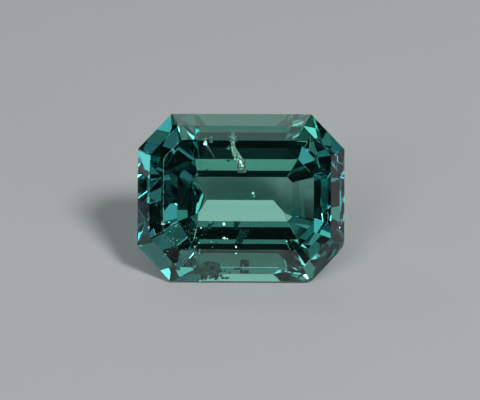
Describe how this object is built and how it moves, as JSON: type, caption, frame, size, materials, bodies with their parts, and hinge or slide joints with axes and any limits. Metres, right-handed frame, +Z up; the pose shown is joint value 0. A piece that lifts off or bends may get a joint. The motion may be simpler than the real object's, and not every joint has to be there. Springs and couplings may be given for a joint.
{
  "type": "cut sapphire",
  "caption": "Loose teal sapphire in an octagonal step cut, lying on one long facet of its pavilion with its table turned up and forward.",
  "frame": {"origin": "middle of the stone's footprint, on the surface it lies on", "axes": "+X along the stone's length, +Z up, the table facing up and towards -Y"},
  "size_m": [0.0076, 0.0048, 0.0049],
  "materials": {
    "sapphire": "polished transparent teal crystal"
  },
  "bodies": {
    "root": {"cut_sapphire": "sapphire"}
  },
  "joints": []
}
